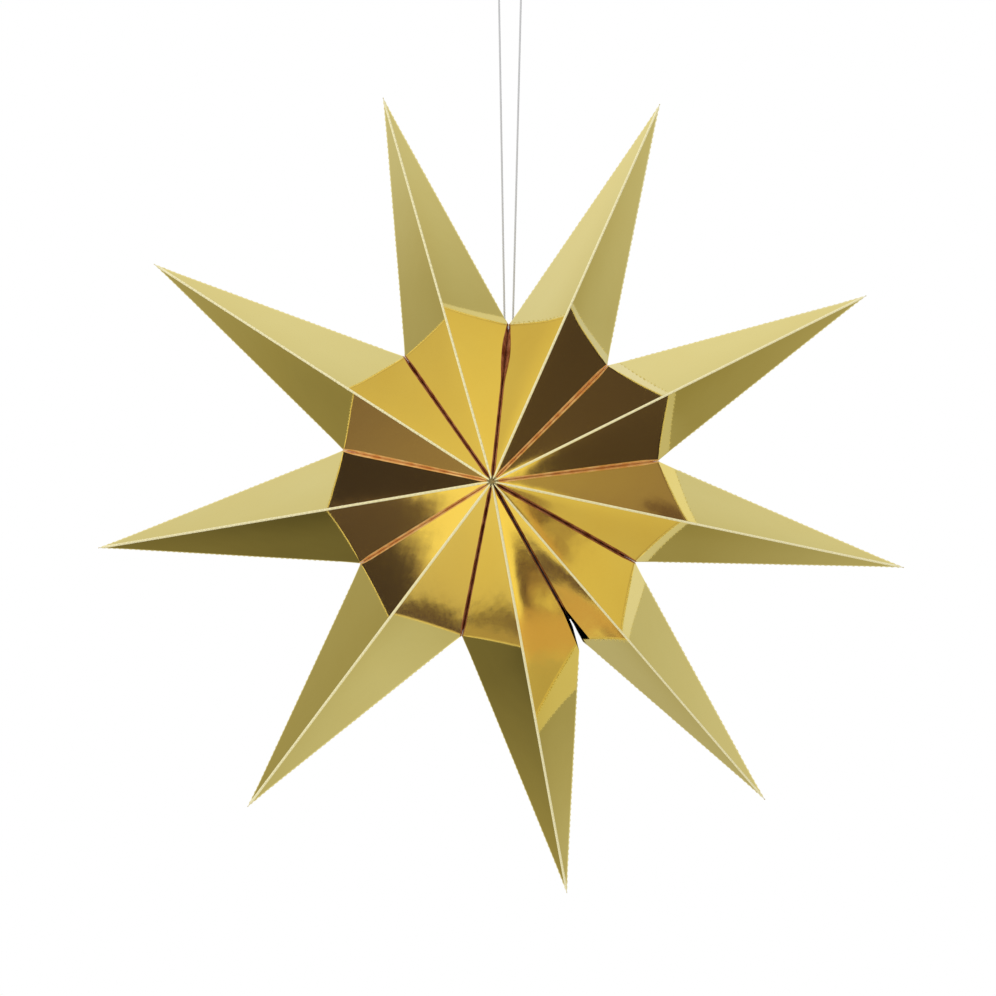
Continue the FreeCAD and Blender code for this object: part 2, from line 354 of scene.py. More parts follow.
def cord_yarn():
    """Twisted polyester yarn: satin strands with fine fibres along the lay."""
    colours = bpy.context.scene.star_colours
    material, tree, place = new_material("twisted_polyester_cord")
    fibre = grain(tree, place, 0.25, 4.0)
    shade = add(tree, "ShaderNodeMapRange", {
        "Value": fibre, "To Min": 0.75, "To Max": 1.1})
    colour = add(tree, "ShaderNodeVectorMath", {
        0: colours.cord[:3], "Scale": shade.outputs["Result"]}, operation="SCALE")
    bump = add(tree, "ShaderNodeBump", {
        "Strength": 0.5, "Distance": 0.06 * MM, "Height": fibre})
    finish_material(tree, add(tree, "ShaderNodeBsdfPrincipled", {
        "Base Color": colour.outputs["Vector"], "Roughness": 0.55, "Sheen Weight": 0.2,
        "Normal": bump.outputs["Normal"]}))
    return material


def closure_tape(name, spacing, strength):
    """Woven nylon tape with hooks or loops: black, with a grain as coarse as its pile."""
    colours = bpy.context.scene.star_colours
    material, tree, place = new_material(name)
    pile = add(tree, "ShaderNodeTexVoronoi", {"Vector": place, "Scale": 1 / (spacing * MM)})
    colour = add(tree, "ShaderNodeMix", {
        "Factor": pile.outputs["Distance"], "A": colours.tape, "B": colours.inside},
        data_type="RGBA")
    bump = add(tree, "ShaderNodeBump", {
        "Strength": strength, "Distance": 0.3 * MM, "Height": pile.outputs["Distance"]})
    finish_material(tree, add(tree, "ShaderNodeBsdfPrincipled", {
        "Base Color": colour.outputs["Result"], "Roughness": 0.7, "Sheen Weight": 0.4,
        "Normal": bump.outputs["Normal"]}))
    return material


def outward(degrees):
    """The direction in the star's plane at an angle clockwise from straight up."""
    a = math.radians(degrees)
    return Vector((math.sin(a), 0.0, math.cos(a)))


def smooth(low, high, value):
    """Rises gently from 0 at low to 1 at high."""
    k = min(max((value - low) / (high - low), 0.0), 1.0)
    return k * k * (3 - 2 * k)


def soften(foot, distance, width, own, other):
    """Where a point at a distance from a fold comes to lie once the fold is rounded."""
    if distance >= width:
        return foot + own * distance
    u = 0.5 * (1 - distance / width)
    return foot + own * (width * (1 - u) ** 2) + other * (width * u * u)


class Quarter:
    """A quarter of a card: one panel, from its ridge to a valley, and the flap beside it.

    side is 1 for the point's left valley and -1 for its right one, and facing is -1 for the
    front and 1 for the back. All places are from the star's centre.
    """

    def __init__(self, card, index, side, facing):
        self.card, self.index, self.side, self.facing = card, index, side, facing
        self.valley = (index - 1 if side > 0 else index) % len(POINTS)
        angle, reach = POINTS[self.valley][2:]
        self.closure = self.valley == CLOSURE
        shallow = self.valley in SHALLOW_VALLEYS
        self.widest = card.slot_shallow if shallow else card.slot_deep
        self.groove = card.groove_shallow if shallow else card.groove_deep
        self.out = outward(angle)
        self.beside = outward(angle + 90) * side
        slot = card.closure_slot if self.closure else card.slot
        tip_angle, tip_reach = POINTS[index][:2]
        self.tip = outward(tip_angle) * (card.tip_radius + tip_reach * MM)
        hub = Vector((0, facing * card.half_depth, 0))
        self.corner = self.out * (card.valley_radius + reach * MM) + self.beside * slot
        self.corner.y += SET_BACK.get(self.valley, 0.0)
        normal = (self.tip - hub).cross(self.corner - hub).normalized()
        self.normal = normal * math.copysign(1, normal.y * facing)

        # the valley fold, its direction away from it in the panel, and the way into the star
        fold = self.normal.cross(self.beside).normalized()
        self.fold = fold * math.copysign(1, fold.dot(self.out))
        off = self.normal.cross(self.fold)
        self.off = off * math.copysign(1, off.dot(self.beside))
        self.spread = 1 / self.off.dot(self.beside)
        inward = self.fold.cross(self.beside)
        self.inward = inward * math.copysign(1, -inward.dot(self.normal))
        self.fold_out = self.corner - self.off * (slot * self.spread)
        back = (self.fold_out.dot(self.out) - card.panel_end) / self.fold.dot(self.out)
        self.fold_in = self.fold_out - self.fold * back

        # the ridge and the side fold, and the way across the panel from each
        self.ridge_in = hub + (self.tip - hub) * (card.ridge_end / self.tip.length)
        self.ridge = (self.tip - self.ridge_in).normalized()
        across = self.normal.cross(self.ridge)
        self.across = across * math.copysign(1, across.dot(self.corner - self.ridge_in))
        self.edge = (self.tip - self.corner).normalized()
        in_panel = self.normal.cross(self.edge)
        self.in_panel = in_panel * math.copysign(1, in_panel.dot(hub - self.corner))

    def opening(self, distance):
        """Half the gap between the two points at a distance from the valley along its fold."""
        card = self.card
        if self.closure:
            return card.closure_slot
        length = (self.fold_out - self.fold_in).length
        if self.valley == CORD_VALLEY:
            rise = smooth(-6 * MM, 26 * MM, distance)
            fall = smooth(30 * MM, 62 * MM, distance)
            wide = card.slot + (card.cord_slot - card.slot) * rise
            return wide + (card.slot_hub - card.cord_slot) * fall
        rise = smooth(-2 * MM, card.slot_widest, distance)
        fall = smooth(card.slot_widest, length, distance)
        return card.slot + (self.widest - card.slot) * rise + (card.slot_hub - self.widest) * fall

    def bulge(self, s, t):
        """How far the panel stands out of its plane at a share of its length and width."""
        card = self.card
        seed = Vector((self.index * 7.3, self.side * 3.1, self.facing * 1.7))
        lean = noise.noise(seed)
        place = (self.ridge_in.lerp(self.tip, s)).lerp(self.fold_in.lerp(self.fold_out, s), t)
        waves = noise.noise(place * (1 / (55 * MM)) + seed * 3)
        window = math.sin(math.pi * t) * math.sin(math.pi * min(s * 1.02, 1.0))
        return window * (card.bow * (0.55 + lean) + card.ripple * waves)

    def row(self, s, other, behind):
        """The points across the panel and its flap, at a share of the way from hub to tip."""
        card = self.card
        start = self.ridge_in.lerp(self.tip, s)
        base = self.fold_in.lerp(self.fold_out, s)
        distance = (base - self.fold_out).length
        edge = base + self.off * (self.opening(distance) * self.spread)
        line = edge - start
        length = line.length
        way = line / length
        near = min(card.ridge_round / max(way.dot(self.across), 0.05), 0.3 * length)
        far = min(card.fold_round * 1.5, 0.2 * length)
        places = [near * k for k in (0, 0.33, 0.66, 1, 1.15)]
        step = (length - far * 1.3 - places[-1]) / card.columns
        places += [places[-1] + step * k for k in range(1, card.columns + 1)]
        places += [length - far, length - far * 0.5]
        taper = smooth(0, 22 * MM, (start - self.tip).length)
        hub_taper = min(1.0, (start - self.ridge_in).length / (5 * MM) + 0.3)
        points = []
        for place in places:
            p = start + way * place
            d = (p - start).dot(self.across)
            foot = p - self.across * d
            p = soften(foot, d, card.ridge_round * taper * hub_taper + 1e-6,
                       self.across, other.across)
            inner = (self.corner - p).dot(self.in_panel) * -1
            along = (p - self.corner).dot(self.edge)
            from_ends = min(along, (self.tip - self.corner).length - along)
            width = card.edge_round * smooth(-2 * MM, 14 * MM, from_ends) + 1e-6
            if inner < width and s > 0.5:
                foot = self.corner + self.edge * along
                p = p + soften(foot, inner, width, self.in_panel, behind.in_panel) \
                    - foot - self.in_panel * inner
            points.append(p + self.normal * self.bulge(s, place / length))

        # the groove's wall, then the glued flap down inside the star
        room = distance * abs(self.fold.y) / abs(self.inward.y)
        depth = min(self.groove, room)
        rest = card.closure_slot if self.closure else 0.05 * MM
        bottom = base + self.inward * depth + self.beside * rest
        wall = bottom - edge
        fall = min(card.fold_round, wall.length * 0.4)
        down = wall.normalized()
        back = -way
        points.append(soften(edge, 0.0, fall + 1e-7, back, down))
        points.append(soften(edge, fall * 0.5, fall + 1e-7, down, back))
        points.append(edge + down * fall)
        points.append(bottom)
        points.append(base + self.inward * min(card.flap_width, room) + self.beside * rest)
        return points


# The cards' material slots
FOIL, SCORE, INSIDE, CUT_EDGE, GROOVE, DEEP_GROOVE = range(6)
# The columns of a quarter's mesh that a ridge's scored strip takes, before the panel's own
SCORE_COLUMNS = 3
RIDGE_COLUMNS = 5


def card_rows(card):
    """Shares of a panel's length, even from the hub outwards, and closer at the side fold."""
    even = [0.972 * k / card.rows for k in range(card.rows + 1)]
    return even + [0.982, 0.989, 0.9945, 1.0]


def build_quarter(bm, quarter, other, behind):
    """Adds one quarter to a card's mesh."""
    card = quarter.card
    grid = []
    for s in card_rows(card):
        grid.append([bm.verts.new(p) for p in quarter.row(s, other, behind)])
    groove_start = RIDGE_COLUMNS + card.columns
    # Shallow grooves get the orange painted reflection, deep ones the dark red-brown painted shade
    groove = GROOVE if quarter.valley in SHALLOW_VALLEYS else DEEP_GROOVE
    faces = []
    for low, high in zip(grid, grid[1:]):
        for k in range(len(low) - 1):
            ring = [low[k], low[k + 1], high[k + 1], high[k]]
            if (quarter.side > 0) != (quarter.facing > 0):
                ring.reverse()
            face = bm.faces.new(ring)
            face.smooth = True
            # The scored strip: pale cracked foil with a painted highlight
            if k < SCORE_COLUMNS:
                face.material_index = SCORE
            elif k >= groove_start:
                face.material_index = groove
            else:
                face.material_index = FOIL
            faces.append(face)
    if quarter.closure:
        front = quarter.facing < 0
        reach = card.notch_before if front else card.notch_lip
        if quarter.side > 0:
            reach = card.notch_after
        first = quarter.corner + quarter.edge * reach
        second = quarter.corner - quarter.fold * (card.notch_front if front else card.notch_back)
        across = quarter.normal.cross(first - second)
        across *= math.copysign(1, across.dot(quarter.corner - first))
        bm.normal_update()
        parts = set(faces)
        for face in faces:
            parts.update(face.verts)
            parts.update(face.edges)
        bmesh.ops.bisect_plane(bm, geom=list(parts), plane_co=first, plane_no=across,
                               clear_outer=True)


def plain_object(name, mesh, materials):
    thing = bpy.data.objects.new(name, mesh)
    bpy.context.scene.collection.objects.link(thing)
    for material in materials:
        mesh.materials.append(material)
    return thing


def baked(thing):
    """Turns an object's evaluated shape into its own plain mesh and drops its modifiers."""
    graph = bpy.context.evaluated_depsgraph_get()
    mesh = bpy.data.meshes.new_from_object(thing.evaluated_get(graph), depsgraph=graph)
    thing.modifiers.clear()
    old = thing.data
    thing.data = mesh
    bpy.data.meshes.remove(old)
    return thing


def quarters_of(card, index):
    return {(side, facing): Quarter(card, index, side, facing)
            for side in (1, -1) for facing in (-1, 1)}


class STAR_OT_points(bpy.types.Operator):
    """Make the nine folded cards"""

    bl_idname = "star.points"
    bl_label = "Folded points"

    def execute(self, context):
        card = context.scene.star_card
        colours = context.scene.star_colours
        materials = [foil_card(), scored_fold(), card_inside(), card_edge(),
                     creased_foil("creased_foil_and_painted_reflection_in_shallow_groove", colours.groove,
                                  colours.groove_painted_highlight),
                     creased_foil("creased_foil_and_painted_shade_in_deep_groove", colours.deep,
                                  colours.deep_groove_painted_highlight)]
        for index in range(len(POINTS)):
            bm = bmesh.new()
            quarters = quarters_of(card, index)
            for (side, facing), quarter in quarters.items():
                build_quarter(bm, quarter, quarters[(-side, facing)], quarters[(side, -facing)])
            bmesh.ops.remove_doubles(bm, verts=bm.verts, dist=0.01 * MM)
            bmesh.ops.translate(bm, verts=bm.verts, vec=STAR_CENTRE)
            mesh = bpy.data.meshes.new("folded_point_%d" % (index + 1))
            bm.to_mesh(mesh)
            bm.free()
            outer = len(mesh.polygons)
            piece = plain_object("folded_point_%d" % (index + 1), mesh, materials)
            sheet = piece.modifiers.new("card", "SOLIDIFY")
            sheet.thickness = card.thickness
            sheet.offset = -1.0
            baked(piece)
            for polygon in piece.data.polygons:
                if polygon.index >= 2 * outer:
                    polygon.material_index = CUT_EDGE
                elif polygon.index >= outer:
                    polygon.material_index = INSIDE
            piece.data.set_sharp_from_angle(angle=math.radians(40))
            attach(piece, "root")
            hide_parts("star_point_%d" % (index + 1))
        return {"FINISHED"}


def score_tree():
    """Sets short grain-shaped cuts along every fold line, at an even pitch."""
    tree = bpy.data.node_groups.new("score_cuts", "GeometryNodeTree")
    face = tree.interface
    face.new_socket("Folds", in_out="INPUT", socket_type="NodeSocketGeometry")
    face.new_socket("Pitch", in_out="INPUT", socket_type="NodeSocketFloat")
    face.new_socket("Cut", in_out="INPUT", socket_type="NodeSocketVector")
    face.new_socket("Seed", in_out="INPUT", socket_type="NodeSocketInt")
    face.new_socket("Material", in_out="INPUT", socket_type="NodeSocketMaterial")
    face.new_socket("Cuts", in_out="OUTPUT", socket_type="NodeSocketGeometry")
    start = add(tree, "NodeGroupInput").outputs
    curve = add(tree, "GeometryNodeMeshToCurve", {"Mesh": start["Folds"]})
    even = add(tree, "GeometryNodeResampleCurve", {
        "Curve": curve.outputs["Curve"], "Length": start["Pitch"]}, mode="LENGTH")
    tangent = add(tree, "GeometryNodeInputTangent")
    turn = add(tree, "FunctionNodeAlignRotationToVector", {
        "Vector": tangent.outputs["Tangent"]}, axis="X")
    change = add(tree, "FunctionNodeRandomValue", {
        "Min": (0.75, 0.8, 0.8), "Max": (1.15, 1.2, 1.2), "Seed": start["Seed"]},
        data_type="FLOAT_VECTOR")
    scale = add(tree, "ShaderNodeVectorMath", {
        0: change.outputs["Value"], 1: start["Cut"]}, operation="MULTIPLY")
    grain = add(tree, "GeometryNodeMeshUVSphere", {"Segments": 8, "Rings": 5, "Radius": 0.5})
    spread = add(tree, "GeometryNodeInstanceOnPoints", {
        "Points": even.outputs["Curve"], "Instance": grain.outputs["Mesh"],
        "Rotation": turn.outputs["Rotation"], "Scale": scale.outputs["Vector"]})
    real = add(tree, "GeometryNodeRealizeInstances", {"Geometry": spread.outputs["Instances"]})
    soft = add(tree, "GeometryNodeSetShadeSmooth", {"Geometry": real.outputs["Geometry"]})
    done = add(tree, "GeometryNodeSetMaterial", {
        "Geometry": soft.outputs["Geometry"], "Material": start["Material"]})
    add(tree, "NodeGroupOutput", {"Cuts": done.outputs["Geometry"]})
    return tree


def grown(name, mesh, tree, values):
    """An object whose mesh is what a node tree makes of it, as a plain mesh."""
    piece = plain_object(name, mesh, [])
    modifier = piece.modifiers.new("nodes", "NODES")
    modifier.node_group = tree
    for item in tree.interface.items_tree:
        if item.in_out == "INPUT" and item.name in values:
            modifier[item.identifier] = values[item.name]
    return baked(piece)


def line_mesh(name, lines):
    """A mesh of edges only, one chain for each list of points."""
    mesh = bpy.data.meshes.new(name)
    points = [p for line in lines for p in line]
    edges = []
    first = 0
    for line in lines:
        edges += [(first + k, first + k + 1) for k in range(len(line) - 1)]
        first += len(line)
    mesh.from_pydata(points, edges, [])
    return mesh


class STAR_OT_scores(bpy.types.Operator):
    """Make the short cuts that score the ridges and the side folds"""

    bl_idname = "star.scores"
    bl_label = "Score cuts"

    def execute(self, context):
        card, score = context.scene.star_card, context.scene.star_score
        ridges, edges = [], []
        shares = card_rows(card)
        for index in range(len(POINTS)):
            quarters = quarters_of(card, index)
            for facing in (-1, 1):
                own, other = quarters[(1, facing)], quarters[(-1, facing)]
                ridges.append([own.row(s, other, quarters[(1, -facing)])[0] + STAR_CENTRE
                               for s in shares[2:-6]])
            for side in (1, -1):
                own, behind = quarters[(side, -1)], quarters[(side, 1)]
                line = own.row(1.0, quarters[(-side, -1)], behind)
                if own.closure:
                    reach = card.notch_before if side < 0 else card.notch_after
                    line = [p for p in line if (p - own.corner).length > reach]
                edges.append([p + STAR_CENTRE for p in line[3:card.columns + 4]])
        tree = score_tree()
        # The cuts' lips take the same pale colour, partly a painted highlight
        fold = scored_fold()
        sets = (("ridge_score_cuts", ridges, score.ridge_cut),
                ("edge_score_cuts", edges, score.edge_cut))
        for name, lines, cut in sets:
            piece = grown(name, line_mesh(name, lines), tree, {
                "Pitch": score.pitch, "Cut": cut, "Seed": score.seed, "Material": fold})
            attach(piece, "root")
        return {"FINISHED"}


def cord_tree():
    """A three-strand cord along a line: a lobed profile that twists as it goes."""
    tree = bpy.data.node_groups.new("twisted_cord", "GeometryNodeTree")
    face = tree.interface
    face.new_socket("Path", in_out="INPUT", socket_type="NodeSocketGeometry")
    face.new_socket("Diameter", in_out="INPUT", socket_type="NodeSocketFloat")
    face.new_socket("Lay", in_out="INPUT", socket_type="NodeSocketFloat")
    face.new_socket("Material", in_out="INPUT", socket_type="NodeSocketMaterial")
    face.new_socket("Cord", in_out="OUTPUT", socket_type="NodeSocketGeometry")
    start = add(tree, "NodeGroupInput").outputs
    curve = add(tree, "GeometryNodeMeshToCurve", {"Mesh": start["Path"]})
    step = add(tree, "ShaderNodeMath", {0: start["Lay"], 1: 14.0}, operation="DIVIDE")
    even = add(tree, "GeometryNodeResampleCurve", {
        "Curve": curve.outputs["Curve"], "Length": step.outputs["Value"]}, mode="LENGTH")
    along = add(tree, "GeometryNodeSplineParameter")
    turns = add(tree, "ShaderNodeMath", {
        0: along.outputs["Length"], 1: start["Lay"]}, operation="DIVIDE")
    angle = add(tree, "ShaderNodeMath", {
        0: turns.outputs["Value"], 1: math.tau}, operation="MULTIPLY")
    twisted = add(tree, "GeometryNodeSetCurveTilt", {
        "Curve": even.outputs["Curve"], "Tilt": angle.outputs["Value"]})
    circle = add(tree, "GeometryNodeCurvePrimitiveCircle", {"Resolution": 18, "Radius": 0.5})
    place = add(tree, "GeometryNodeInputPosition").outputs["Position"]
    parts = add(tree, "ShaderNodeSeparateXYZ", {0: place}).outputs
    turn = add(tree, "ShaderNodeMath", {0: parts["Y"], 1: parts["X"]}, operation="ARCTAN2")
    thrice = add(tree, "ShaderNodeMath", {0: turn.outputs["Value"], 1: 3.0}, operation="MULTIPLY")
    lobe = add(tree, "ShaderNodeMath", {0: thrice.outputs["Value"]}, operation="COSINE")
    reach = add(tree, "ShaderNodeMath", {
        0: lobe.outputs["Value"], 1: 0.1, 2: 0.9}, operation="MULTIPLY_ADD")
    size = add(tree, "ShaderNodeMath", {
        0: reach.outputs["Value"], 1: start["Diameter"]}, operation="MULTIPLY")
    spot = add(tree, "ShaderNodeVectorMath", {
        0: place, "Scale": size.outputs["Value"]}, operation="SCALE")
    profile = add(tree, "GeometryNodeSetPosition", {
        "Geometry": circle.outputs["Curve"], "Position": spot.outputs["Vector"]})
    tube = add(tree, "GeometryNodeCurveToMesh", {
        "Curve": twisted.outputs["Curve"], "Profile Curve": profile.outputs["Geometry"],
        "Fill Caps": True})
    soft = add(tree, "GeometryNodeSetShadeSmooth", {"Geometry": tube.outputs["Mesh"]})
    done = add(tree, "GeometryNodeSetMaterial", {
        "Geometry": soft.outputs["Geometry"], "Material": start["Material"]})
    add(tree, "NodeGroupOutput", {"Cord": done.outputs["Geometry"]})
    return tree


def route_line():
    """The cord's smooth centreline, as points read from the spline of its route."""
    curve = bpy.data.curves.new("cord_route", "CURVE")
    curve.dimensions = "3D"
    spline = curve.splines.new("NURBS")
    spline.points.add(len(CORD_ROUTE) - 1)
    for point, (across, up) in zip(spline.points, CORD_ROUTE):
        point.co = (*(Vector((across, 0.0, up)) * MM + STAR_CENTRE), 1.0)
    spline.order_u = 3
    spline.use_endpoint_u = True
    spline.resolution_u = 24
    guide = bpy.data.objects.new("cord_route", curve)
    bpy.context.scene.collection.objects.link(guide)
    graph = bpy.context.evaluated_depsgraph_get()
    mesh = bpy.data.meshes.new_from_object(guide.evaluated_get(graph), depsgraph=graph)
    bpy.data.objects.remove(guide)
    return mesh, [v.co.copy() for v in mesh.vertices]


class STAR_OT_cord(bpy.types.Operator):
    """Make the twisted cord of the hanging loop and the knot that joins its ends"""

    bl_idname = "star.cord"
    bl_label = "Cord and knot"

    def execute(self, context):
        cord = context.scene.star_cord
        yarn = cord_yarn()
        tree = cord_tree()
        mesh, path = route_line()
        strand = grown("hanging_loop_cord", mesh, tree, {
            "Diameter": cord.diameter, "Lay": cord.lay, "Material": yarn})
        low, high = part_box("cord_knot")
        middle = (low + high) / 2
        radius = (high.z - low.z - cord.diameter) / 2
        run = cord.knot_turns * cord.diameter
        coil = []
        steps = int(cord.knot_turns * 24)
        for k in range(steps + 1):
            a = math.tau * cord.knot_turns * k / steps
            coil.append(middle + Vector((run * (k / steps - 0.5),
                                         radius * math.cos(a), radius * math.sin(a))))
        knot = grown("cord_end_knot", line_mesh("cord_end_knot", [coil]), tree, {
            "Diameter": cord.diameter, "Lay": cord.lay, "Material": yarn})
        for piece, node in ((strand, "hanging_cord"), (knot, "cord_knot")):
            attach(piece, "root")
            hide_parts(node)
            piece.visible_glossy = False
        return {"FINISHED"}


class STAR_OT_closure(bpy.types.Operator):
    """Give the closure's tape its hook and loop finishes"""

    bl_idname = "star.closure"
    bl_label = "Closure tape"

    def execute(self, context):
        kinds = (("hook_strip", closure_tape("black_nylon_hook_tape", 1.2, 0.9)),
                 ("loop_strip", closure_tape("black_nylon_loop_tape", 0.7, 0.6)))
        for start, material in kinds:
            for place in ("front", "back"):
                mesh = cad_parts["%s_%s" % (start, place)].data
                mesh.materials.clear()
                mesh.materials.append(material)
        return {"FINISHED"}


def grey(value):
    return (value, value, value, 1.0)


# The studio as the foil mirrors it, by the angle round the star, clockwise from straight up,
# in degrees. Depth is the mirrored ray's way along Y, from -1 in front to 1 behind.
# Brightness of the backdrop, where a mirrored ray goes well behind the star
BACKDROP = (
    (11, 0.86), (24, 0.7), (29, 0.74), (51, 0.77), (55, 0.59), (63, 0.61), (67, 0.69),
    (93, 0.66), (97, 0.57), (100, 0.7), (135, 0.44), (139, 0.32), (147, 0.92), (150, 0.86),
    (176, 0.34), (180, 0.18), (191, 0.21), (195, 0.27), (217, 0.1), (232, 0.22), (236, 0.36),
    (242, 0.38), (246, 0.21), (271, 0.35), (275, 0.58), (286, 0.42), (291, 0.46), (308, 0.66),
    (312, 0.74), (330, 0.74), (348, 0.82),
)
# Brightness of the room beside the star, where its soft boxes and dark gaps take turns
ROOM = (
    (0, 1.0), (10, 0.93), (14, 0.75), (22, 0.4), (34, 0.13), (42, 0.12), (50, 0.15),
    (62, 0.11), (76, 0.11), (84, 0.2), (89, 0.38), (92, 0.44), (100, 0.62), (106, 0.72),
    (110, 0.8), (120, 0.86), (170, 0.88), (181, 0.95), (203, 0.94), (212, 0.5), (222, 0.2),
    (234, 0.19), (242, 0.13), (262, 0.1), (276, 0.12), (281.6, 0.12), (282.8, 0.46),
    (290, 0.48), (310, 0.9), (322, 1.0), (345, 1.0),
)
# How far in front of the star's plane the lamps begin, as a share of a half
LAMPS_FROM = (
    (0, 0.4), (34, 0.38), (44, 0.37), (49, 0.325), (56, 0.37), (76, 0.375), (90, 0.375),
    (110, 0.4), (204, 0.4), (226, 0.205), (235, 0.188), (241, 0.173), (243, 0.168),
    (262, 0.18), (281, 0.184), (300, 0.2), (320, 0.4),
)
# What stands between the lamps: angle, depth, half the angle and half the depth that each
# covers, its slant, and the share of red, green and blue that it leaves
DARK = (0.14, 0.10, 0.22)
DIM = (0.48, 0.41, 0.5)
STANDS = (
    (128.9, -0.161, 2.3, 0.011, -202.0, *DARK),
    (128.9, -0.143, 2.2, 0.013, -202.0, 0.8, 0.62, 0.6),
    (132.2, -0.145, 1.1, 0.007, 0.0, *DARK),
    (130.7, -0.136, 0.9, 0.005, 0.0, *DIM),
    (172.2, -0.190, 1.45, 0.0145, 70.0, *DARK),
    (172.1, -0.1845, 0.7, 0.0055, 70.0, 3.0, 3.3, 2.0),
    (171.3, -0.183, 0.12, 0.013, 70.0, *DARK),
    (170.9, -0.176, 0.85, 0.03, 70.0, 0.74, 0.58, 0.62),
    (169.15, -0.168, 1.5, 0.035, 70.0, 0.6, 0.6, 0.72),
    (202.5, -0.066, 9.0, 0.0105, 0.0, 0.66, 0.6, 0.6),
    (203.2, -0.0805, 2.6, 0.0034, 0.0, *DARK),
    (180.0, -0.054, 5.0, 0.006, 0.0, *DARK),
    (180.0, -0.041, 5.0, 0.0065, 0.0, 0.66, 0.6, 0.6),
    (88.3, -0.140, 1.2, 0.008, 0.0, *DIM),
    (106.5, -0.150, 1.2, 0.011, 0.0, *DIM),
    (13.5, -0.078, 2.0, 0.013, 0.0, 0.62, 0.6, 0.6),
)
# Cool reflectors behind the star, in the same terms: they lift what they cover
REFLECTORS = (
    (92.0, 0.51, 4.0, 0.05, 0.0, 0.98, 1.04, 1.4),
    (354.0, 0.57, 5.0, 0.06, 0.0, 0.95, 1.0, 1.4),
    (79.0, 0.61, 6.0, 0.05, 0.0, 0.95, 1.0, 1.3),
)
# How the backdrop and the room get brighter with depth, and the depths they are given for
BACKDROP_SLOPE = 2.0
BACKDROP_DEPTH = 0.45
ROOM_SLOPE = 3.5
ROOM_DEPTH = 0.09
LAMP_LEVEL = 1.35
LAMP_SOFTNESS = 0.007
BACKDROP_LEAST = 0.12
# The depths between which the room gives way to the backdrop
ROOM_ENDS = (0.24, 0.3)
SHADING_LEVEL = 0.8
# The tint of each level of brightness: brown in the dark, neutral or a little cool when lit
BACKDROP_TINT = (
    (0.0, 0.0, 0.0, 0.0), (0.17, 0.17, 0.15, 0.08), (0.35, 0.35, 0.31, 0.16),
    (0.5, 0.48, 0.45, 0.31), (0.65, 0.63, 0.62, 0.53), (0.85, 0.84, 0.84, 0.82),
    (1.0, 1.0, 1.0, 0.97),
)
ROOM_TINT = (
    (0.0, 0.0, 0.0, 0.0), (0.1, 0.07, 0.055, 0.12), (0.25, 0.22, 0.165, 0.28),
    (0.45, 0.45, 0.36, 0.5), (0.8, 0.8, 0.73, 0.7), (1.0, 1.02, 0.95, 0.86),
)


def tinted(tree, level, tint):
    """A level of brightness as a colour, and above 1 as a brighter white."""
    colour = add(tree, "ShaderNodeValToRGB", {"Fac": level},
                 stops=[(row[0], (*row[1:], 1.0)) for row in tint])
    over = add(tree, "ShaderNodeMath", {0: level, 1: 1.0}, operation="MAXIMUM")
    return add(tree, "ShaderNodeVectorMath", {
        0: colour.outputs["Color"], "Scale": over.outputs[0]}, operation="SCALE").outputs[0]


def dressed(tree, colour, share, depth, things):
    """The studio's colour once some oval things stand in it."""
    for degrees, at, half_turn, half_depth, slant, *left in things:
        offset = add(tree, "ShaderNodeMath", {0: depth, 1: at}, operation="SUBTRACT").outputs[0]
        turned = add(tree, "ShaderNodeMath", {
            0: share, 1: 360 / half_turn, 2: -degrees / half_turn}, operation="MULTIPLY_ADD")
        aside = add(tree, "ShaderNodeMath", {
            0: offset, 1: -slant / half_turn, 2: turned.outputs[0]}, operation="MULTIPLY_ADD")
        across = add(tree, "ShaderNodeMath", {0: offset, 1: half_depth}, operation="DIVIDE")
        pair = add(tree, "ShaderNodeCombineXYZ", {
            0: aside.outputs[0], 1: across.outputs[0], 2: 0.0})
        far = add(tree, "ShaderNodeVectorMath", {0: pair.outputs[0]}, operation="LENGTH")
        clear = add(tree, "ShaderNodeMapRange", {
            "Value": far.outputs["Value"], "From Min": 0.85, "From Max": 1.12},
            interpolation_type="SMOOTHSTEP")
        kept = add(tree, "ShaderNodeMix", {
            "Factor": clear.outputs["Result"], "A": (*left, 1.0), "B": grey(1.0)},
            data_type="RGBA")
        colour = add(tree, "ShaderNodeVectorMath", {
            0: colour, 1: kept.outputs["Result"]}, operation="MULTIPLY").outputs[0]
    return colour


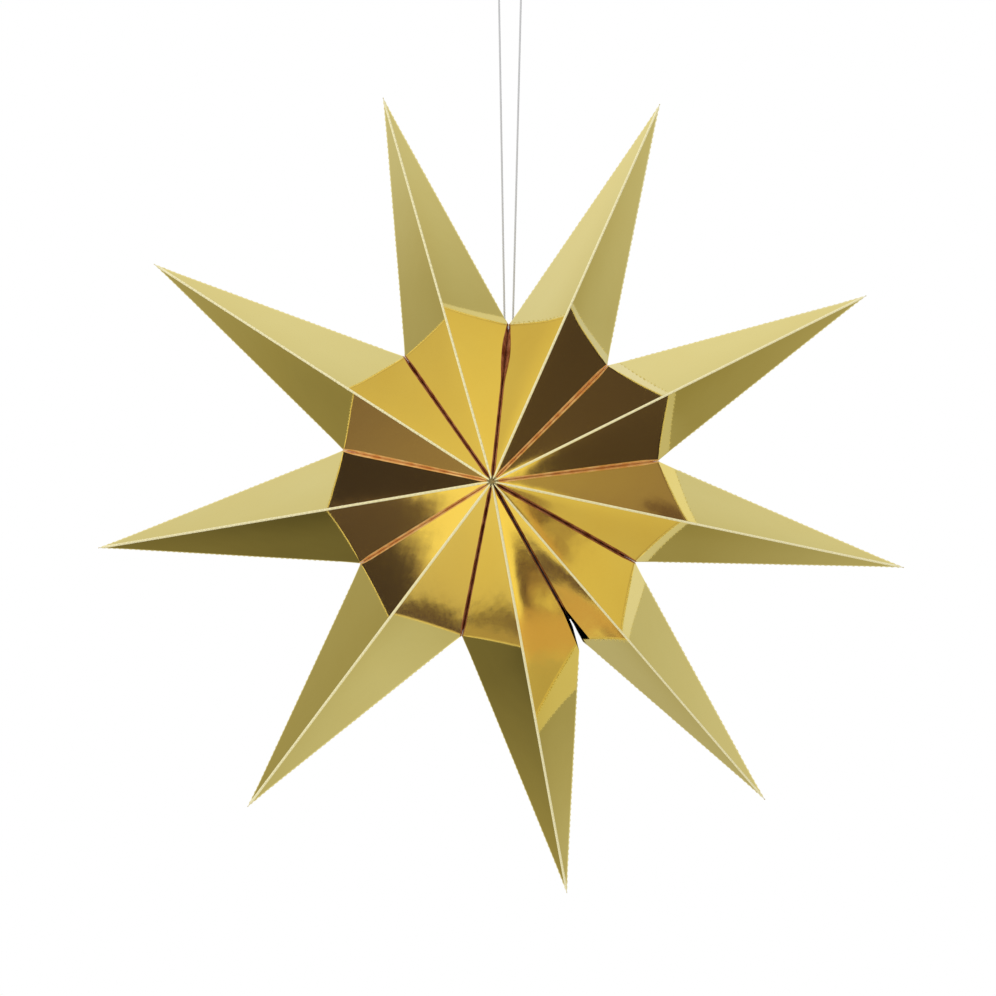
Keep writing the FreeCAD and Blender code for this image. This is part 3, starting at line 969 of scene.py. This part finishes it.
def studio_world():
    """White for the camera, an even white for shading, and for mirrors the studio around."""
    world = bpy.data.worlds.new("studio")
    bpy.context.scene.world = world
    world.use_nodes = True
    tree = world.node_tree
    tree.nodes.clear()
    way = add(tree, "ShaderNodeTexCoord").outputs["Generated"]
    parts = add(tree, "ShaderNodeSeparateXYZ", {0: way}).outputs
    angle = add(tree, "ShaderNodeMath", {0: parts["X"], 1: parts["Z"]}, operation="ARCTAN2")
    turn = add(tree, "ShaderNodeMath", {
        0: angle.outputs["Value"], 1: 1 / math.tau, 2: 1.0}, operation="MULTIPLY_ADD")
    share = add(tree, "ShaderNodeMath", {0: turn.outputs["Value"]}, operation="FRACT").outputs[0]
    depth = add(tree, "ShaderNodeMath", {0: parts["Y"]}, operation="ABSOLUTE").outputs[0]
    backdrop, room, lamps_from = [
        add(tree, "ShaderNodeValToRGB", {"Fac": share},
            stops=[(degrees / 360, grey(value)) for degrees, value in ring]).outputs["Color"]
        for ring in (BACKDROP, ROOM, LAMPS_FROM)]

    fade = add(tree, "ShaderNodeMath", {
        0: depth, 1: ROOM_SLOPE, 2: 1 - ROOM_DEPTH * ROOM_SLOPE}, operation="MULTIPLY_ADD")
    room = add(tree, "ShaderNodeMath", {0: room, 1: fade.outputs[0]}, operation="MULTIPLY")
    lamp_edge = add(tree, "ShaderNodeMath", {
        0: lamps_from, 1: -0.5, 2: depth}, operation="MULTIPLY_ADD").outputs[0]
    lamps = add(tree, "ShaderNodeMapRange", {
        "Value": lamp_edge, "From Min": -LAMP_SOFTNESS, "From Max": LAMP_SOFTNESS},
        interpolation_type="SMOOTHSTEP").outputs["Result"]
    level = add(tree, "ShaderNodeMix", {
        "Factor": lamps, "A": room.outputs[0], "B": LAMP_LEVEL}).outputs["Result"]
    beside = tinted(tree, level, ROOM_TINT)
    beside = dressed(tree, beside, share, parts["Y"], STANDS)

    rise = add(tree, "ShaderNodeMath", {
        0: depth, 1: BACKDROP_SLOPE, 2: -BACKDROP_DEPTH * BACKDROP_SLOPE},
        operation="MULTIPLY_ADD")
    lit = add(tree, "ShaderNodeMath", {0: backdrop, 1: rise.outputs[0]}, operation="ADD")
    bounded = add(tree, "ShaderNodeClamp", {
        "Value": lit.outputs[0], "Min": BACKDROP_LEAST, "Max": 1.0})
    behind = tinted(tree, bounded.outputs[0], BACKDROP_TINT)
    behind = dressed(tree, behind, share, parts["Y"], REFLECTORS)
    ring = add(tree, "ShaderNodeMapRange", {
        "Value": depth, "From Min": ROOM_ENDS[0], "From Max": ROOM_ENDS[1]},
        interpolation_type="SMOOTHSTEP")
    around = add(tree, "ShaderNodeMix", {
        "Factor": ring.outputs["Result"], "A": beside, "B": behind}, data_type="RGBA")
    mirrored = add(tree, "ShaderNodeBackground", {"Color": around.outputs["Result"]})
    even = add(tree, "ShaderNodeBackground", {"Color": grey(1.0), "Strength": SHADING_LEVEL})
    white = add(tree, "ShaderNodeBackground", {"Color": grey(1.0), "Strength": 1.0})
    ray = add(tree, "ShaderNodeLightPath").outputs
    shaded = add(tree, "ShaderNodeMixShader", {
        0: ray["Is Glossy Ray"], 1: even.outputs[0], 2: mirrored.outputs[0]})
    shown = add(tree, "ShaderNodeMixShader", {
        0: ray["Is Camera Ray"], 1: shaded.outputs[0], 2: white.outputs[0]})
    add(tree, "ShaderNodeOutputWorld", {"Surface": shown.outputs[0]})


def pale_floor(colour):
    """Painted board: pale and matt, with a faint unevenness from the roller."""
    material, tree, place = new_material("pale_painted_board")
    cloud = add(tree, "ShaderNodeTexNoise", {"Vector": place, "Scale": 3.0, "Detail": 3.0})
    shade = add(tree, "ShaderNodeMapRange", {
        "Value": cloud.outputs["Fac"], "To Min": 0.98, "To Max": 1.02})
    tone = add(tree, "ShaderNodeVectorMath", {
        0: colour[:3], "Scale": shade.outputs["Result"]}, operation="SCALE")
    finish_material(tree, add(tree, "ShaderNodeBsdfPrincipled", {
        "Base Color": tone.outputs["Vector"], "Roughness": 0.9}))
    return material


# The soft key lamp: its diameter and place from the star's centre in metres, and its power
KEY_SIZE = 1.6
KEY_PLACE = (-1.4, -2.0, 1.6)
KEY_WATTS = 18


class STAR_OT_stage(bpy.types.Operator):
    """Set the camera, the floor and the studio's light"""

    bl_idname = "star.stage"
    bl_label = "Stage"

    def execute(self, context):
        studio = context.scene.star_studio
        scene = context.scene
        scene.view_settings.view_transform = "Standard"
        studio_world()
        a, e = studio.azimuth, studio.elevation
        back = Vector((math.sin(a) * math.cos(e), -math.cos(a) * math.cos(e), math.sin(e)))
        camera = bpy.data.objects.new("camera", bpy.data.cameras.new("camera"))
        scene.collection.objects.link(camera)
        camera.data.lens = studio.lens
        camera.location = STAR_CENTRE + back * studio.distance
        look = STAR_CENTRE + Vector(studio.aim) - camera.location
        camera.rotation_mode = "QUATERNION"
        camera.rotation_quaternion = look.to_track_quat("-Z", "Y")
        camera.data.clip_end = 50
        scene.camera = camera

        mesh = bpy.data.meshes.new("pale_floor")
        bm = bmesh.new()
        bmesh.ops.create_grid(bm, x_segments=8, y_segments=8, size=3.0)
        bmesh.ops.translate(bm, verts=bm.verts,
                            vec=STAR_CENTRE - Vector((0, 0, studio.floor_drop)))
        bm.to_mesh(mesh)
        bm.free()
        floor = plain_object("pale_floor", mesh, [pale_floor(studio.floor_colour)])
        floor.visible_glossy = False

        light = bpy.data.lights.new("soft_key", "AREA")
        light.shape = "DISK"
        light.size = KEY_SIZE
        light.energy = KEY_WATTS
        lamp = bpy.data.objects.new("soft_key", light)
        scene.collection.objects.link(lamp)
        lamp.location = STAR_CENTRE + Vector(KEY_PLACE)
        lamp.rotation_mode = "QUATERNION"
        lamp.rotation_quaternion = (STAR_CENTRE - lamp.location).to_track_quat("-Z", "Y")
        lamp.visible_glossy = False
        return {"FINISHED"}


class STAR_PT_panel(bpy.types.Panel):
    """Lists the star's pieces and their sizes"""

    bl_idname = "STAR_PT_panel"
    bl_label = "Foil star"
    bl_space_type = "VIEW_3D"
    bl_region_type = "UI"
    bl_category = "Foil star"

    def draw(self, context):
        for operator in OPERATORS:
            self.layout.operator(operator.bl_idname)
        for name, kind in SETTINGS.items():
            box = self.layout.box()
            for key in kind.__annotations__:
                box.prop(getattr(context.scene, name), key)


SETTINGS = {
    "star_card": StarCard,
    "star_score": StarScore,
    "star_cord": StarCord,
    "star_colours": StarColours,
    "star_studio": StarStudio,
}
OPERATORS = (STAR_OT_stage, STAR_OT_cord, STAR_OT_points, STAR_OT_scores, STAR_OT_closure)


def register():
    for kind in (*SETTINGS.values(), *OPERATORS, STAR_PT_panel):
        bpy.utils.register_class(kind)
    for name, kind in SETTINGS.items():
        setattr(bpy.types.Scene, name, bpy.props.PointerProperty(type=kind))


def unregister():
    for name in SETTINGS:
        delattr(bpy.types.Scene, name)
    for kind in (STAR_PT_panel, *reversed(OPERATORS), *reversed(SETTINGS.values())):
        bpy.utils.unregister_class(kind)


def main():
    register()
    bpy.ops.star.stage()
    bpy.ops.star.cord()
    bpy.ops.star.points()
    bpy.ops.star.scores()
    bpy.ops.star.closure()


if __name__ == "__main__":
    main()
